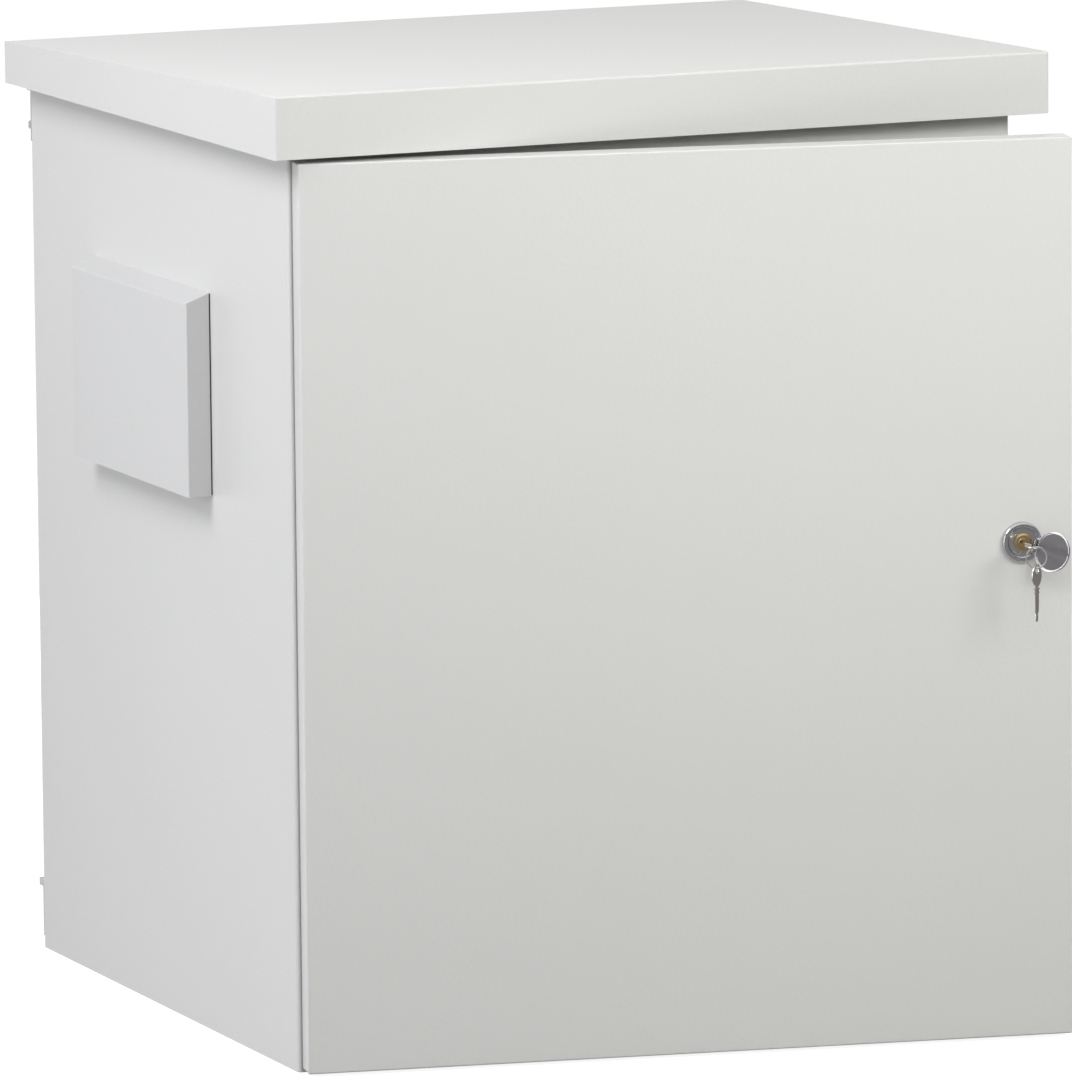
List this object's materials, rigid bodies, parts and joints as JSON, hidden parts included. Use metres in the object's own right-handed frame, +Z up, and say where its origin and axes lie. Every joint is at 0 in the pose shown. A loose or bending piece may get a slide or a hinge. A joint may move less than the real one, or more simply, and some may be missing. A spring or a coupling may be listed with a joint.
{
  "type": "outdoor rack cabinet",
  "caption": "Weatherproof sheet-steel wall cabinet with a sloping rain roof, side vent hoods, a rack frame inside and a hinged door with a cam lock, standing ajar.",
  "frame": {"origin": "middle of the base, on its lower face", "axes": "+Z up, -Y out of the door's side, +X to the right seen from the front"},
  "size_m": [0.642, 0.7196, 0.7479],
  "materials": {
    "powder_coat": "pale grey powder coat with a fine orange-peel texture",
    "zinc_plate": "zinc-plated steel",
    "lock_chrome": "bright chrome",
    "key_nickel": "bright nickel plate",
    "lock_brass": "turned brass",
    "grommet_rubber": "matte black rubber",
    "gasket_foam": "matte foam gasket",
    "filter_fleece": "white filter fleece"
  },
  "bodies": {
    "cabinet": {"body_shell": "powder_coat", "floor_pan": "powder_coat", "ceiling_panel": "powder_coat", "roof_cap": "powder_coat", "left_vent_hood": "powder_coat", "right_vent_hood": "powder_coat", "left_filter_frame": "powder_coat", "right_filter_frame": "powder_coat", "front_roof_support": "zinc_plate", "rear_roof_support": "zinc_plate", "roof_bolts": "zinc_plate", "left_hood_bolts": "zinc_plate", "right_hood_bolts": "zinc_plate", "gland_plate": "zinc_plate", "gland_screws": "zinc_plate", "front_left_rail": "zinc_plate", "front_right_rail": "zinc_plate", "rear_left_rail": "zinc_plate", "rear_right_rail": "zinc_plate", "lower_left_depth_rail": "zinc_plate", "lower_right_depth_rail": "zinc_plate", "upper_left_depth_rail": "zinc_plate", "upper_right_depth_rail": "zinc_plate", "rail_bolts": "zinc_plate", "rail_nuts": "zinc_plate", "upper_left_bracket": "zinc_plate", "upper_right_bracket": "zinc_plate", "lower_left_bracket": "zinc_plate", "lower_right_bracket": "zinc_plate", "upper_bracket_bolts": "zinc_plate", "lower_bracket_bolts": "zinc_plate", "bracket_nuts": "zinc_plate", "upper_frame_leaf": "zinc_plate", "lower_frame_leaf": "zinc_plate", "frame_leaf_screws": "zinc_plate", "body_ground_nut": "lock_brass", "cable_grommets": "grommet_rubber", "left_filter_mat": "filter_fleece", "right_filter_mat": "filter_fleece"},
    "door": {"door_panel": "powder_coat", "door_gasket": "gasket_foam", "left_door_strip": "zinc_plate", "right_door_strip": "zinc_plate", "upper_door_leaf": "zinc_plate", "lower_door_leaf": "zinc_plate", "upper_hinge_pin": "zinc_plate", "lower_hinge_pin": "zinc_plate", "door_leaf_nuts": "zinc_plate", "door_ground_nut": "lock_brass", "lock_base": "lock_chrome", "lock_nut": "zinc_plate", "cover_pin": "lock_chrome"},
    "lock_core": {"lock_plug": "lock_brass", "lock_cam": "zinc_plate", "cam_nut": "zinc_plate", "lock_key": "key_nickel"},
    "cover": {"lock_cover": "lock_chrome"},
    "ring": {"key_ring": "key_nickel"},
    "spare": {"spare_key": "key_nickel"}
  },
  "joints": [
    {"name": "door_hinge", "type": "hinge", "parent": "cabinet", "child": "door", "pos_m": [-0.292, -0.282, 0.3495], "axis": [0, 0, -1], "range_deg": [-11, 94]},
    {"name": "lock_turn", "type": "hinge", "parent": "door", "child": "lock_core", "pos_m": [0.2464, -0.3999, 0.387], "axis": [0.1908, 0.9816, 0], "range_deg": [0, 90]},
    {"name": "cover_flip", "type": "hinge", "parent": "door", "child": "cover", "pos_m": [0.25443, -0.40594, 0.38406], "axis": [0.3033, -0.059, 0.9511], "range_deg": [-25, 0]},
    {"name": "ring_swing", "type": "hinge", "parent": "lock_core", "child": "ring", "pos_m": [0.24387, -0.43445, 0.38671], "axis": [0.9336, -0.1815, -0.309], "range_deg": [-20, 12]},
    {"name": "spare_key_swing", "type": "hinge", "parent": "ring", "child": "spare", "pos_m": [0.24227, -0.43414, 0.37191], "axis": [0.9816, -0.1908, 0], "range_deg": [-20, 12]}
  ]
}
